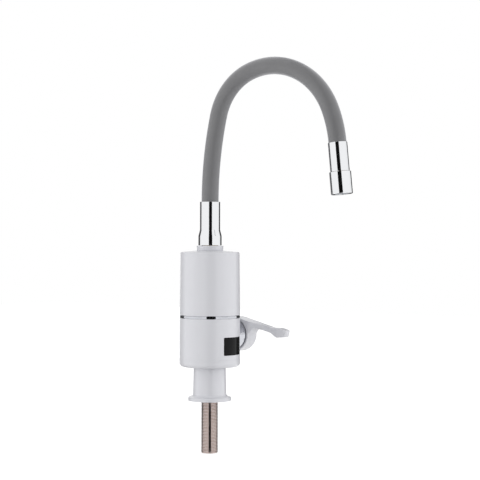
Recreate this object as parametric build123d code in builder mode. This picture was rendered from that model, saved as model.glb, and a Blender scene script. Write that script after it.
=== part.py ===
from build123d import *
import os
from math import cos, radians, sin, sqrt, tan

# Electric instant water heater tap for a kitchen sink, all sizes in millimetres.
# The origin is the middle of the pedestal's underside, where it meets the worktop.
# +Z is up, the spout points to -Y (the front), the valve and its lever are on the +X side.

# Clearances
seat_gap = 0.1  # between fixed pieces that slide into each other
running_gap = 0.05  # radial, between a turning piece and its bearing
free_gap = 0.3  # between a moving piece and a fixed one that it only passes
cut_over = 1.0  # how far a cutting tool runs past the outside

# Threaded inlet shank, a G1/2 pipe thread, and the nut that holds it in the pedestal
shank_radius = 10.48
shank_bore_radius = 7.5
shank_drop = 65.5
shank_collar_radius = 10.3  # of the shoulder, in a recess under the pedestal
shank_collar_height = 1.5
shank_neck_radius = 9.4
shank_chamfer = 1.0
thread_pitch = 1.814
thread_depth = 1.16
thread_angle = 55.0  # between the flanks
thread_land = 0.3  # flat on the crest
locknut_flats = 24.0
locknut_height = 6.0

# Pedestal with its flange, gasket and the grommet that the supply lead leaves by
flange_radius = 26.9
flange_height = 4.9
flange_edge_radius = 2.1
neck_foot_radius = 20.95
neck_top_radius = 20.0
neck_foot_fillet = 3.6
neck_bore_radius = 18.2
pedestal_height = 42.25
pedestal_web = 8.0
gasket_inner_radius = 21.4
gasket_outer_radius = 25.2
gasket_height = 1.8
grommet_offset = 15.1
grommet_radius = 3.9
grommet_bore_radius = 3.0

# Heater body: bottom cover, lower housing, trim ring, upper housing
housing_radius = 37.75
housing_wall = 2.25
cover_overhang = 0.15  # of the cover's side beyond the housing's
cover_height = 9.75
cover_edge_radius = 5.0
cover_wall = 2.4
lower_housing_height = 50.9
lap_height = 3.0
lap_wall = 2.0
trim_stand = 0.05  # of the trim ring beyond the housings
trim_height = 3.75
trim_spigot = 4.0
trim_wall = 1.6
housing_draft = 0.85  # from the foot of the upper housing to its shoulder
shoulder_rise = 78.35
shoulder_fillet = 1.6
crown_radius = 16.5
crown_rise = 2.1
crown_wall = 2.4

# Screws that hold the bottom cover, driven from below
screw_count = 3
screw_inset = 9.25  # of the screws from the housing's outside
screw_first_angle = 90.0
screw_radius = 1.5
screw_head_radius = 2.7
screw_head_height = 2.2
screw_length = 15.0
boss_wall = 1.5
housing_boss_height = 10.0
boss_web = 2.0

# Display: smoked window flush in the housing, digit module and its board behind it
window_width = 33.4
window_height = 22.2
window_base = 6.0  # above the foot of the lower housing
window_corner = 1.2
window_thickness = 1.5
window_ledge = 2.0
board_thickness = 1.6
display_board_width = 37.0
display_board_height = 25.5
display_board_inset = 8.75  # of the board from the housing's front
display_rib_width = 3.0
display_board_rise = 2.0  # of the board's middle above the window's
module_width = 27.0
module_height = 14.0
module_depth = 3.2

# Side valve: cast body, cartridge, ceramic discs, stem and chrome bonnet
valve_rise = 28.0  # of the valve's axis above the foot of the lower housing
valve_barrel_radius = 13.5
valve_barrel_inset = 0.75  # of the barrel's end from the housing's outside
valve_flange_radius = 17.0
valve_flange_height = 3.0
valve_socket_depth = 5.0
valve_inlet_radius = 5.5
valve_head_wall = 5.0
valve_seat_x = 7.0
valve_seat_radius = 4.5
valve_chamber_radius = 11.6
valve_chamber_length = 10.0
valve_outlet_inset = 6.5  # from the tank's side
valve_outlet_radius = 8.0
valve_outlet_bore = 4.5
valve_outlet_rise = 16.0  # above the valve's axis
cartridge_radius = 10.5
cartridge_wall = 1.4
cartridge_hex_flats = 22.0
cartridge_hex_height = 4.0
cartridge_neck_radius = 6.5
cartridge_neck_length = 9.0
seat_ring_thickness = 2.2
disc_thickness = 2.5
port_radius = 2.2
port_offset = 4.6
driver_length = 4.0
stem_radius = 4.0
stem_inset = 6.9  # of the stem's end from the hub's face
bonnet_radius = 20.5
bonnet_neck_radius = 17.0
bonnet_straight = 4.2
bonnet_crown_radius = 60.0  # of the gentle barrel curve beyond the straight skirt
bonnet_shoulder_reach = 13.75  # beyond the housing
bonnet_shoulder_radius = 18.6
bonnet_nose_reach = 19.75  # beyond the housing
bonnet_nose_radius = 11.5
bonnet_nose_curve = 9.0
bonnet_mouth_radius = 7.5
bonnet_wall = 1.6
bonnet_thread_length = 5.0
bonnet_saddle_depth = 1.0  # of metal left for the saddle cut beyond the skirt

# Lever handle: hollow round hub on the valve's axis with an arm that leaves it at a tangent
hub_radius = 22.2
hub_overlap = 6.5  # of the hub's rim over the bonnet's nose
hub_depth = 22.9
hub_edge_radius = 4.0
hub_wall = 2.6
hub_boss_radius = 7.4
hub_boss_gap = 2.0  # between the bonnet's nose and the boss
arm_slope = 14.6  # degrees below level
arm_thickness = 7.0
arm_length = 48.0  # along the arm, from the hub's middle to the paddle
arm_back_inset = 10.0  # from the hub's back
arm_front_inset = 2.9  # from the hub's face
root_length = 20.0
root_taper = 16.0
root_fillet = 3.0
paddle_length = 22.4
paddle_swell = 10.0  # from the paddle's start to its widest place
paddle_rise = 2.5
paddle_height = 12.6
paddle_tip_height = 8.4
paddle_back_swell = 1.5  # beyond the arm
paddle_front_swell = 2.0
paddle_end_taper = 1.0
paddle_curve = 7.0
paddle_crown = 21.0  # radius of the easy curve from the arm's top to the paddle's
paddle_tip_radius = 2.2
paddle_plan_radius = 4.4
arm_corner = 1.0
handle_screw_radius = 1.95
handle_screw_head = 3.8
handle_screw_head_height = 2.0
plug_radius = 5.9
plug_recess = 3.0

# Swivel joint on the crown: collar nut, stub with seals, retaining clip
collar_foot_radius = 16.3
collar_top_radius = 16.85
collar_height = 5.9
stub_thread_radius = 10.2
stub_flange_radius = 15.0
stub_flange_height = 3.0
stub_bearing_radius = 9.0
stub_bearing_length = 29.0
stub_bore_radius = 4.5
stub_spigot_radius = 8.0
stub_spigot_length = 7.0
seal_width = 2.0
seal_depth = 1.4
seal_first_rise = 10.5
seal_spacing = 8.0
clip_rise = 24.5
clip_height = 1.0
clip_width = 2.0
clip_depth = 0.8

# Spout: lower ferrule, socket inside it, gooseneck hose, outlet ferrule and aerator
ferrule_base_gap = 0.4  # between the collar nut and the ferrule that turns above it
ferrule_foot_radius = 14.55
ferrule_foot_height = 11.9
ferrule_taper_height = 7.5
ferrule_radius = 12.6
ferrule_height = 54.4
socket_radius = 11.4
socket_height = 32.5
hose_radius = 10.65
hose_bore_radius = 6.6
hose_tail = 11.0  # length of sleeve inside each ferrule
tube_radius = 6.5
tube_bore_radius = 5.4
nipple_radius = 5.3
nipple_bore_radius = 4.0
nipple_length = 14.0  # beyond the end of the sleeve
hose_foot_curve = 456.0  # radius of each arc of the gooseneck, and the angle it turns by
hose_foot_angle = 13.6
hose_rise_curve = 72.7
hose_rise_angle = 55.5
hose_top_curve = 91.7
hose_top_angle = 88.4
hose_fall_curve = 144.0
hose_fall_angle = 16.6
outlet_ferrule_radius = 11.45
outlet_ferrule_length = 34.3
outlet_body_radius = 10.3
outlet_body_start = 12.0  # beyond the end of the visible hose
outlet_body_length = 26.0
aerator_radius = 12.9
aerator_length = 26.3
aerator_bore_radius = 10.6
aerator_lip = 3.4
aerator_lip_radius = 9.2
washer_thickness = 2.0
washer_bore_radius = 6.0

# Flow switch between the valve and the tank
switch_radius = 8.5
switch_height = 16.0
switch_bore_radius = 6.3
switch_floor = 2.0
piston_travel = 4.0
reed_length = 12.0
reed_width = 6.0
reed_depth = 5.0

# Heating tank under the crown
tank_gap = 2.5  # between the tank and the control board
tank_offset = 6.0  # towards the front, to leave room for the control board
tank_wall = 1.0
lid_thickness = 3.0
lid_boss_radius = 12.0
lid_seat = 2.5  # depth of lid left below the stub's spigot
tank_port_radius = 4.0
element_inset = 4.0  # of the element's legs from the lid's boss
element_width = 5.0
element_depth = 4.0
element_floor_gap = 4.5  # between the element's bend and the tank's floor
terminal_height = 6.0
probe_x = -8.0
probe_inset = 7.5  # from the front of the tank
probe_radius = 2.0
probe_length = 30.0
cutout_size = 12.0
cutout_depth = 5.0
cutout_rise = 38.0  # above the tank's bottom

# Electronics
control_board_inset = 17.75  # of its front from the back of the housing
control_board_edge_gap = 1.6  # between its sides and the housing
control_board_drop = 16.65  # of its foot below the upper housing
control_board_top_gap = 2.6  # between its top and the crown
rail_grip = 1.5
rail_rise = 1.0  # above the trim ring's spigot
rail_wall = 1.5
relay_width = 15.0
relay_depth = 9.5
relay_height = 19.0
relay_x = -5.5
relay_base = 150.5
module_block_width = 18.0
module_block_depth = 9.0
module_block_height = 18.0
module_block_x = 1.0
module_block_base = 117.0
terminal_x = -12.4
terminal_width = 14.5
terminal_gap = 1.0  # between the block and the valve's flange
terminal_edge_gap = 0.4  # between the block's corner and the housing's lap
terminal_block_height = 10.0
wire_radius = 1.3
wire_spacing = 4.5
wire_lap = 10.0
ribbon_inset = 4.5  # from the inside of the housing
ribbon_thickness = 0.6
ribbon_base = 80.0
ribbon_width = 12.0

# Heights that follow from the stack of housings
cover_base = pedestal_height
housing_base = cover_base + cover_height
trim_base = housing_base + lower_housing_height
upper_base = trim_base + trim_height
shoulder_z = upper_base + shoulder_rise
crown_z = shoulder_z + crown_rise
collar_top = crown_z + collar_height
ferrule_base = collar_top + ferrule_base_gap
ferrule_top = ferrule_base + ferrule_height
valve_z = housing_base + valve_rise
cover_floor = cover_base + cover_wall

# Radii and places that follow from the housing
housing_bore = housing_radius - housing_wall
cover_radius = housing_radius + cover_overhang
trim_radius = housing_radius + trim_stand
shoulder_radius = housing_radius - housing_draft
lap_radius = cover_radius - cover_wall - seat_gap
screw_circle_radius = housing_radius - screw_inset
display_board_y = display_board_inset - housing_radius
control_board_y = housing_radius - control_board_inset
board_back = control_board_y + board_thickness
board_corner_radius = shoulder_radius - housing_wall - control_board_edge_gap
control_board_width = 2 * sqrt(board_corner_radius**2 - board_back**2)
control_board_base = upper_base - control_board_drop
board_top = shoulder_z - crown_wall - control_board_top_gap
tank_radius = control_board_y - tank_gap + tank_offset
valve_barrel_end = housing_radius - valve_barrel_inset
valve_outlet_x = tank_radius - valve_outlet_inset
bonnet_shoulder_x = housing_radius + bonnet_shoulder_reach
bonnet_nose_x = housing_radius + bonnet_nose_reach
hub_back_x = bonnet_nose_x - hub_overlap
hub_face_x = hub_back_x + hub_depth
hub_boss_x = bonnet_nose_x + hub_boss_gap
stem_end = hub_face_x - stem_inset
arm_inner_x = hub_back_x + arm_back_inset
arm_outer_x = hub_face_x - arm_front_inset
paddle_inner_x = arm_inner_x - paddle_back_swell
paddle_outer_x = arm_outer_x + paddle_front_swell

os.makedirs("parts", exist_ok=True)
FRONT = Plane.XZ
VALVE_AXIS = Axis((0, 0, valve_z), (1, 0, 0))


def outline(plane, points):
    """A flat outline through the points, closed."""
    with BuildSketch(plane) as profile:
        with BuildLine():
            Polyline(*points, close=True)
        make_face()
    return profile.sketch


def ring(inner, outer, low, high):
    """Half section of a ring about the vertical axis."""
    return outline(FRONT, [(inner, low), (outer, low), (outer, high), (inner, high)])


def valve_ring(inner, outer, near, far):
    """Half section of a ring about the valve's axis, from near to far along X."""
    corners = [(near, inner), (far, inner), (far, outer), (near, outer)]
    return outline(FRONT, [(x, valve_z + r) for x, r in corners])


def block(x_middle, width, y_low, depth, z_low, height):
    """An upright block, kept apart from the part that is being built."""
    base = Box(width, depth, height, align=(Align.CENTER, Align.MIN, Align.MIN), mode=Mode.PRIVATE)
    return base.moved(Location((x_middle, y_low, z_low)))


def save(part, name):
    part.label = name
    export_step(part, f"parts/{name}.step")


# Inlet shank: one tube from below the worktop up into the valve body, with a shoulder
# recessed into the pedestal's underside that the nut above the web pulls against.
# Its thread is drawn as grooves at the true pitch, depth and angle, without the lead
shank_top = cover_floor + valve_flange_height
socket_base = shank_top - valve_socket_depth
thread_turns = int((shank_drop - shank_chamfer - thread_land) / thread_pitch)
thread_root_radius = shank_radius - thread_depth
thread_flank = thread_depth * tan(radians(thread_angle / 2))
thread_section = [(shank_bore_radius, 0), (shank_bore_radius, -shank_drop)]
thread_section.append((shank_radius, -shank_drop))
for turn in reversed(range(thread_turns)):
    groove_top = -thread_land - turn * thread_pitch
    groove_foot = groove_top - thread_pitch + thread_land
    thread_section.append((shank_radius, groove_foot))
    thread_section.append((thread_root_radius, groove_foot + thread_flank))
    thread_section.append((thread_root_radius, groove_top - thread_flank))
    thread_section.append((shank_radius, groove_top))
thread_section.append((shank_radius, 0))
with BuildPart() as inlet_shank:
    revolve(outline(FRONT, thread_section), axis=Axis.Z)
    revolve(ring(shank_bore_radius, shank_collar_radius, 0, shank_collar_height), axis=Axis.Z)
    revolve(ring(shank_bore_radius, shank_neck_radius, 0, shank_top), axis=Axis.Z)
    foot_edges = inlet_shank.edges().filter_by(GeomType.CIRCLE).group_by(Axis.Z)[0]
    chamfer(foot_edges.sort_by(SortBy.RADIUS)[-1], shank_chamfer)
save(inlet_shank.part, "inlet_shank")

with BuildPart() as shank_locknut:
    with BuildSketch(Plane.XY.offset(pedestal_web)):
        RegularPolygon(locknut_flats / 2, 6, major_radius=False)
        Circle(shank_neck_radius + seat_gap, mode=Mode.SUBTRACT)
    extrude(amount=locknut_height)
save(shank_locknut.part, "shank_locknut")

# Pedestal: flange, waisted neck, web that the shank is nutted to, groove for the gasket
with BuildPart() as pedestal:
    with BuildSketch(FRONT) as pedestal_profile:
        with BuildLine():
            Polyline(
                (0, 0),
                (flange_radius, 0),
                (flange_radius, flange_height),
                (neck_foot_radius, flange_height),
                (neck_top_radius, pedestal_height),
                (neck_bore_radius, pedestal_height),
                (neck_bore_radius, pedestal_web),
                (0, pedestal_web),
                close=True,
            )
        make_face()
        rim = pedestal_profile.vertices().sort_by(Axis.X)[-2:]
        fillet(rim.sort_by(Axis.Y)[-1], flange_edge_radius)
        foot = pedestal_profile.vertices().filter_by_position(
            Axis.X, neck_foot_radius, neck_foot_radius
        )
        fillet(foot, neck_foot_fillet)
    revolve(axis=Axis.Z)
    groove = ring(
        gasket_inner_radius - seat_gap, gasket_outer_radius + seat_gap, 0, gasket_height
    )
    revolve(groove, axis=Axis.Z, mode=Mode.SUBTRACT)
    with BuildSketch(Plane.XY):
        Circle(shank_neck_radius + seat_gap)
        with Locations((0, grommet_offset)):
            Circle(grommet_radius + seat_gap)
    extrude(amount=pedestal_web, mode=Mode.SUBTRACT)
    recess = ring(0, shank_radius + seat_gap, 0, shank_collar_height)
    revolve(recess, axis=Axis.Z, mode=Mode.SUBTRACT)
save(pedestal.part, "pedestal")

with BuildPart() as base_gasket:
    revolve(ring(gasket_inner_radius, gasket_outer_radius, 0, gasket_height - seat_gap), axis=Axis.Z)
save(base_gasket.part, "base_gasket")

with BuildPart() as lead_grommet:
    with BuildSketch(Plane.XY.offset(seat_gap)):
        with Locations((0, grommet_offset)):
            Circle(grommet_radius)
            Circle(grommet_bore_radius, mode=Mode.SUBTRACT)
    extrude(amount=pedestal_web - seat_gap)
save(lead_grommet.part, "lead_grommet")

# Bottom cover: shallow dish that stands on the pedestal, with counterbored screw bosses
cover_boss_radius = screw_head_radius + seat_gap + boss_wall
screw_head_base = cover_base + cover_height - screw_head_height - 3 * boss_wall
with BuildPart() as bottom_cover:
    with BuildSketch(Plane.XY.offset(cover_base)):
        Circle(cover_radius)
    extrude(amount=cover_height)
    fillet(bottom_cover.faces().sort_by(Axis.Z)[0].edges(), cover_edge_radius)
    with BuildSketch(Plane.XY.offset(cover_floor)):
        Circle(cover_radius - cover_wall)
    extrude(amount=cover_height - cover_wall, mode=Mode.SUBTRACT)
    with BuildSketch(Plane.XY.offset(cover_base)):
        with PolarLocations(screw_circle_radius, screw_count, screw_first_angle):
            Circle(cover_boss_radius)
    extrude(amount=cover_height)
    with BuildSketch(Plane.XY.offset(cover_base)):
        Circle(valve_barrel_radius + seat_gap)
        with PolarLocations(screw_circle_radius, screw_count, screw_first_angle):
            Circle(screw_radius + seat_gap)
    extrude(amount=cover_height, mode=Mode.SUBTRACT)
    with BuildSketch(Plane.XY.offset(cover_base)):
        with PolarLocations(screw_circle_radius, screw_count, screw_first_angle):
            Circle(screw_head_radius + seat_gap)
    extrude(amount=screw_head_base + screw_head_height - cover_base, mode=Mode.SUBTRACT)
save(bottom_cover.part, "bottom_cover")

with BuildPart() as cover_screws:
    with BuildSketch(Plane.XY.offset(screw_head_base)):
        with PolarLocations(screw_circle_radius, screw_count, screw_first_angle):
            Circle(screw_head_radius)
    extrude(amount=screw_head_height)
    with BuildSketch(Plane.XY.offset(screw_head_base + screw_head_height)):
        with PolarLocations(screw_circle_radius, screw_count, screw_first_angle):
            Circle(screw_radius)
    extrude(amount=screw_length - screw_head_height)
save(cover_screws.part, "cover_screws")

# Lower housing: tube with the window's seat at the front, the valve's hole at the side,
# screw bosses on webs, and ribs that the display board lies against
window_z = housing_base + window_base + window_height / 2
window_seat_radius = housing_radius - window_thickness - seat_gap
display_board_z = window_z + display_board_rise
rib_x = display_board_width / 2 - display_rib_width / 2
with BuildPart() as lower_housing:
    with BuildSketch(Plane.XY.offset(housing_base)):
        Circle(housing_radius)
        Circle(housing_bore, mode=Mode.SUBTRACT)
    extrude(amount=lower_housing_height)
    with BuildSketch(Plane.XY.offset(housing_base - lap_height)):
        Circle(lap_radius)
        Circle(lap_radius - lap_wall, mode=Mode.SUBTRACT)
    extrude(amount=lap_height)
    with BuildSketch(Plane.XY.offset(housing_base)):
        Circle(housing_radius - housing_wall / 2)
        Circle(lap_radius - lap_wall, mode=Mode.SUBTRACT)
    extrude(amount=lap_wall)
    with BuildSketch(Plane.XY.offset(housing_base)):
        with PolarLocations(screw_circle_radius, screw_count, screw_first_angle):
            Circle(screw_radius + boss_wall)
            with Locations((screw_radius, 0)):
                Rectangle(
                    housing_radius - housing_wall / 2 - screw_circle_radius - screw_radius,
                    boss_web,
                    align=(Align.MIN, Align.CENTER),
                )
    extrude(amount=housing_boss_height)
    with BuildSketch(Plane.XY.offset(housing_base)):
        with PolarLocations(screw_circle_radius, screw_count, screw_first_angle):
            Circle(screw_radius + running_gap)
    extrude(amount=housing_boss_height, mode=Mode.SUBTRACT)
    with BuildSketch(Plane.XY.offset(display_board_z - display_board_height / 2)) as rib_base:
        for side in (-1, 1):
            with Locations((side * rib_x, display_board_y)):
                Rectangle(display_rib_width, housing_radius, align=(Align.CENTER, Align.MAX))
        Circle(housing_radius - housing_wall / 2, mode=Mode.INTERSECT)
    extrude(amount=display_board_height)
    with BuildSketch(FRONT):
        with Locations((0, window_z)):
            RectangleRounded(
                window_width - 2 * window_ledge, window_height - 2 * window_ledge, window_corner
            )
    extrude(amount=housing_radius + cut_over, mode=Mode.SUBTRACT)
    with BuildSketch(Plane.YZ):
        with Locations((0, valve_z)):
            Circle(bonnet_neck_radius + seat_gap)
    extrude(amount=housing_radius + cut_over, mode=Mode.SUBTRACT)
    with BuildSketch(FRONT):
        with Locations((0, window_z)):
            RectangleRounded(window_width, window_height, window_corner)
    window_pocket = extrude(amount=housing_radius + cut_over, mode=Mode.PRIVATE)
    pocket_core = Cylinder(window_seat_radius, 4 * window_z, mode=Mode.PRIVATE)
    add(window_pocket - pocket_core, mode=Mode.SUBTRACT)
save(lower_housing.part, "lower_housing")

with BuildPart() as display_window:
    with BuildSketch(Plane.XY.offset(window_z - window_height)):
        Circle(housing_radius)
        Circle(window_seat_radius + seat_gap, mode=Mode.SUBTRACT)
    extrude(amount=2 * window_height)
    with BuildSketch(FRONT):
        with Locations((0, window_z)):
            RectangleRounded(
                window_width - 2 * seat_gap, window_height - 2 * seat_gap, window_corner
            )
    extrude(amount=housing_radius + cut_over, mode=Mode.INTERSECT)
save(display_window.part, "display_window")

with BuildPart() as display_board:
    add(
        block(
            0,
            display_board_width,
            display_board_y + running_gap,
            board_thickness,
            display_board_z - display_board_height / 2,
            display_board_height,
        )
    )
save(display_board.part, "display_board")

with BuildPart() as display_module:
    add(
        block(
            0,
            module_width,
            display_board_y - module_depth,
            module_depth,
            window_z - module_height / 2,
            module_height,
        )
    )
save(display_module.part, "display_module")

# Trim ring: bright band between the housings, with a spigot into each
spigot_radius = housing_bore - seat_gap
with BuildPart() as trim_ring:
    with BuildSketch(FRONT):
        with BuildLine():
            Polyline(
                (spigot_radius - trim_wall, trim_base - trim_spigot),
                (spigot_radius, trim_base - trim_spigot),
                (spigot_radius, trim_base),
                (trim_radius, trim_base),
                (trim_radius, upper_base),
                (spigot_radius, upper_base),
                (spigot_radius, upper_base + trim_spigot),
                (spigot_radius - trim_wall, upper_base + trim_spigot),
                close=True,
            )
        make_face()
    revolve(axis=Axis.Z)
save(trim_ring.part, "trim_ring")

# Upper housing: slightly drafted cup with a soft shoulder, a low cone for a crown
# and two slotted rails inside for the control board
rail_width = 2 * rail_wall + board_thickness
rail_base = upper_base + trim_spigot + rail_rise
with BuildPart() as upper_housing:
    with BuildSketch(FRONT) as shell_profile:
        with BuildLine():
            Polyline(
                (housing_radius, upper_base),
                (shoulder_radius, shoulder_z),
                (crown_radius, crown_z),
                (stub_thread_radius + seat_gap, crown_z),
                (stub_thread_radius + seat_gap, crown_z - crown_wall),
                (crown_radius, crown_z - crown_wall),
                (shoulder_radius - housing_wall, shoulder_z - crown_wall),
                (housing_bore, upper_base),
                close=True,
            )
        make_face()
        shoulder = shell_profile.vertices().filter_by_position(
            Axis.X, shoulder_radius, shoulder_radius
        )
        fillet(shoulder, shoulder_fillet)
    revolve(axis=Axis.Z)
    with BuildSketch(Plane.XY.offset(rail_base)) as rails:
        for side in (-1, 1):
            rail_edge = side * (control_board_width / 2 - rail_grip)
            rail_align = Align.MIN if side > 0 else Align.MAX
            with Locations((rail_edge, control_board_y + board_thickness / 2)):
                Rectangle(housing_radius, rail_width, align=(rail_align, Align.CENTER))
        with Locations((0, control_board_y + board_thickness / 2)):
            Rectangle(
                control_board_width + 2 * seat_gap,
                board_thickness + 2 * seat_gap,
                mode=Mode.SUBTRACT,
            )
        Circle(shoulder_radius - housing_wall / 2, mode=Mode.INTERSECT)
    extrude(amount=board_top - rail_base)
save(upper_housing.part, "upper_housing")

# Valve body: brass casting with an inlet column, a side barrel and an outlet column
outlet_top = valve_z + valve_outlet_rise
chamber_near = valve_outlet_x - valve_chamber_length / 2
with BuildPart() as valve_body:
    with BuildSketch(Plane.XY.offset(socket_base)):
        Circle(valve_barrel_radius)
    extrude(amount=valve_z + valve_inlet_radius + valve_head_wall - socket_base)
    with BuildSketch(Plane.XY.offset(cover_floor)):
        Circle(valve_flange_radius)
    extrude(amount=valve_flange_height)
    with BuildSketch(Plane.YZ):
        with Locations((0, valve_z)):
            Circle(valve_barrel_radius)
    extrude(amount=valve_barrel_end)
    with BuildSketch(Plane.XY.offset(valve_z)):
        with Locations((valve_outlet_x, 0)):
            Circle(valve_outlet_radius)
    extrude(amount=valve_outlet_rise)
    with BuildSketch(Plane.XY.offset(socket_base)):
        Circle(shank_neck_radius + seat_gap)
    extrude(amount=valve_socket_depth, mode=Mode.SUBTRACT)
    with BuildSketch(Plane.XY.offset(socket_base)):
        Circle(valve_inlet_radius)
    extrude(amount=valve_z + valve_inlet_radius - socket_base, mode=Mode.SUBTRACT)
    revolve(valve_ring(0, valve_seat_radius, 0, valve_seat_x), axis=VALVE_AXIS, mode=Mode.SUBTRACT)
    revolve(
        valve_ring(0, cartridge_radius + seat_gap, valve_seat_x, valve_barrel_end),
        axis=VALVE_AXIS,
        mode=Mode.SUBTRACT,
    )
    revolve(
        valve_ring(0, valve_chamber_radius, chamber_near, chamber_near + valve_chamber_length),
        axis=VALVE_AXIS,
        mode=Mode.SUBTRACT,
    )
    with BuildSketch(Plane.XY.offset(valve_z)):
        with Locations((valve_outlet_x, 0)):
            Circle(valve_outlet_bore)
    extrude(amount=valve_outlet_rise, mode=Mode.SUBTRACT)
save(valve_body.part, "valve_body")

# Cartridge: rubber seat, fixed and turning ceramic discs, brass body with side windows, stem
cartridge_bore = cartridge_radius - cartridge_wall
fixed_disc_x = valve_seat_x + seat_ring_thickness
moving_disc_x = fixed_disc_x + disc_thickness + running_gap
driver_x = moving_disc_x + disc_thickness + running_gap
driver_end = driver_x + driver_length
cartridge_bore_end = driver_end + free_gap
neck_end = valve_barrel_end + cartridge_hex_height + cartridge_neck_length
with BuildPart() as seat_ring:
    revolve(
        valve_ring(valve_seat_radius, cartridge_radius, valve_seat_x, fixed_disc_x),
        axis=VALVE_AXIS,
    )
save(seat_ring.part, "seat_ring")


def disc_sketch(x, port_angle):
    """Outline of a ceramic disc with its two round ports, on a plane across the valve's axis."""
    with BuildSketch(Plane.YZ.offset(x)) as disc:
        with Locations((0, valve_z)):
            Circle(cartridge_bore - running_gap)
            with PolarLocations(port_offset, 2, port_angle):
                Circle(port_radius, mode=Mode.SUBTRACT)
    return disc.sketch


with BuildPart() as fixed_disc:
    extrude(disc_sketch(fixed_disc_x, 0), amount=disc_thickness)
save(fixed_disc.part, "fixed_disc")

with BuildPart() as moving_disc:
    extrude(disc_sketch(moving_disc_x, 90), amount=disc_thickness)
save(moving_disc.part, "moving_disc")

with BuildPart() as cartridge_body:
    revolve(
        valve_ring(0, cartridge_radius, fixed_disc_x + seat_gap, valve_barrel_end),
        axis=VALVE_AXIS,
    )
    with BuildSketch(Plane.YZ.offset(valve_barrel_end)):
        with Locations((0, valve_z)):
            RegularPolygon(cartridge_hex_flats / 2, 6, major_radius=False)
    extrude(amount=cartridge_hex_height)
    revolve(
        valve_ring(0, cartridge_neck_radius, valve_barrel_end + cartridge_hex_height, neck_end),
        axis=VALVE_AXIS,
    )
    revolve(
        valve_ring(0, cartridge_bore, fixed_disc_x, cartridge_bore_end),
        axis=VALVE_AXIS,
        mode=Mode.SUBTRACT,
    )
    revolve(
        valve_ring(0, stem_radius + running_gap, cartridge_bore_end, neck_end),
        axis=VALVE_AXIS,
        mode=Mode.SUBTRACT,
    )
    with BuildSketch(Plane.XY.offset(valve_z - cartridge_radius)):
        with Locations(((driver_x + driver_end) / 2, 0)):
            Rectangle(driver_length, cartridge_bore)
    extrude(amount=2 * cartridge_radius, mode=Mode.SUBTRACT)
save(cartridge_body.part, "cartridge_body")

screw_bore_x = hub_boss_x
with BuildPart() as cartridge_stem:
    revolve(
        valve_ring(0, cartridge_bore - free_gap, driver_x, driver_end),
        axis=VALVE_AXIS,
    )
    revolve(valve_ring(0, stem_radius, driver_end, stem_end), axis=VALVE_AXIS)
    revolve(
        valve_ring(0, handle_screw_radius + seat_gap, screw_bore_x, stem_end),
        axis=VALVE_AXIS,
        mode=Mode.SUBTRACT,
    )
save(cartridge_stem.part, "cartridge_stem")

# Bonnet: chrome dome whose skirt is cut to a saddle on the round housing
bonnet_base_x = sqrt(housing_radius**2 - bonnet_radius**2) - bonnet_saddle_depth
straight_end = housing_radius + bonnet_straight
thread_radius = valve_barrel_radius + seat_gap
with BuildPart() as bonnet:
    with BuildSketch(FRONT):
        with BuildLine():
            Polyline(
                (bonnet_nose_x, valve_z + bonnet_mouth_radius),
                (bonnet_nose_x - bonnet_wall, valve_z + bonnet_mouth_radius),
                (bonnet_nose_x - bonnet_wall, valve_z + bonnet_nose_radius - bonnet_wall),
                (bonnet_shoulder_x - bonnet_wall, valve_z + bonnet_shoulder_radius - bonnet_wall),
                (straight_end, valve_z + bonnet_radius - bonnet_wall),
                (bonnet_base_x, valve_z + bonnet_radius - bonnet_wall),
                (bonnet_base_x, valve_z + bonnet_radius),
                (straight_end, valve_z + bonnet_radius),
            )
            RadiusArc(
                (straight_end, valve_z + bonnet_radius),
                (bonnet_shoulder_x, valve_z + bonnet_shoulder_radius),
                bonnet_crown_radius,
            )
            RadiusArc(
                (bonnet_shoulder_x, valve_z + bonnet_shoulder_radius),
                (bonnet_nose_x, valve_z + bonnet_nose_radius),
                bonnet_nose_curve,
            )
            Line(
                (bonnet_nose_x, valve_z + bonnet_nose_radius),
                (bonnet_nose_x, valve_z + bonnet_mouth_radius),
            )
        make_face()
    revolve(axis=VALVE_AXIS)
    with BuildSketch(Plane.XY):
        Circle(housing_radius + seat_gap)
    extrude(amount=2 * valve_z, mode=Mode.SUBTRACT)
    revolve(
        valve_ring(
            thread_radius,
            bonnet_neck_radius,
            valve_barrel_end - bonnet_thread_length,
            straight_end,
        ),
        axis=VALVE_AXIS,
    )
    revolve(
        valve_ring(
            thread_radius,
            bonnet_radius - bonnet_wall / 2,
            straight_end - bonnet_wall,
            straight_end,
        ),
        axis=VALVE_AXIS,
    )
save(bonnet.part, "bonnet")

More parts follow.
